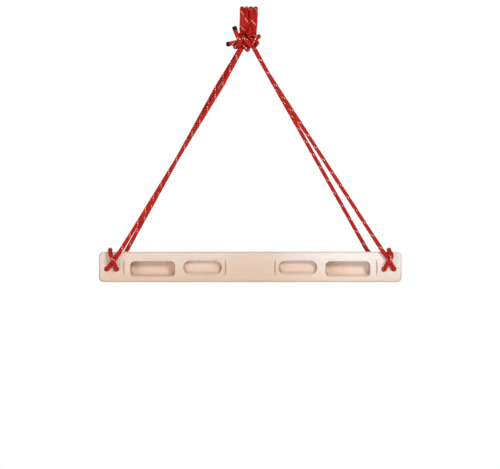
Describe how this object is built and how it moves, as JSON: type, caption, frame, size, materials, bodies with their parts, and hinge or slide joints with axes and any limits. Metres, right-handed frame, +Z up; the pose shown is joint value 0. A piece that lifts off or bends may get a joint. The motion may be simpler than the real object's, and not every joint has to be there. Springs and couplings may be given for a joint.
{
  "type": "hangboard",
  "caption": "Rectangular hardwood finger-training board with rounded pockets in its front, hung in a triangle on one red braided cord that is wound over a bar and knotted.",
  "frame": {"origin": "on the axis of the bar that the cord is wound over, above the middle of the board", "axes": "+X along the bar and the board, to the right seen from the front; +Y from the board's front to its back; +Z up"},
  "size_m": [0.51, 0.059, 0.4663],
  "materials": {
    "wood": "fine sanded, bare pale hardwood",
    "cord": "tight braid, red with short cream tracer flecks",
    "cord_end": "black shrunk end cap"
  },
  "bodies": {
    "bar_loop": {"bar_winding": "cord", "left_knot_strand": "cord", "right_knot_strand": "cord", "left_end_sleeve": "cord_end", "right_end_sleeve": "cord_end"},
    "upper_links": {"left_front_upper_neck": "cord", "left_back_upper_neck": "cord", "right_front_upper_neck": "cord", "right_back_upper_neck": "cord"},
    "lower_links": {"left_front_lower_neck": "cord", "left_back_lower_neck": "cord", "right_front_lower_neck": "cord", "right_back_lower_neck": "cord"},
    "legs": {"left_front_leg": "cord", "left_back_leg": "cord", "right_front_leg": "cord", "right_back_leg": "cord"},
    "board": {"board": "wood", "left_end_wrap": "cord", "right_end_wrap": "cord"}
  },
  "joints": [
    {"name": "fore_aft_swing", "type": "hinge", "parent": "bar_loop", "child": "upper_links", "pos_m": [-0.0046, 0, -0.036], "axis": [1, 0, 0], "range_deg": [-30, 30]},
    {"name": "side_swing", "type": "hinge", "parent": "upper_links", "child": "lower_links", "pos_m": [-0.0046, 0, -0.036], "axis": [0, 1, 0], "range_deg": [-12, 12]},
    {"name": "board_twist", "type": "hinge", "parent": "lower_links", "child": "legs", "pos_m": [-0.0046, 0, -0.036], "axis": [0, 0, 1], "range_deg": [-45, 45], "stiffness_Nm_per_rad": 0.05},
    {"name": "board_rock", "type": "hinge", "parent": "legs", "child": "board", "pos_m": [0, 0, -0.391], "axis": [1, 0, 0], "range_deg": [-8, 8], "stiffness_Nm_per_rad": 0.3, "deforming": ["left_front_leg", "left_back_leg", "right_front_leg", "right_back_leg"]}
  ]
}
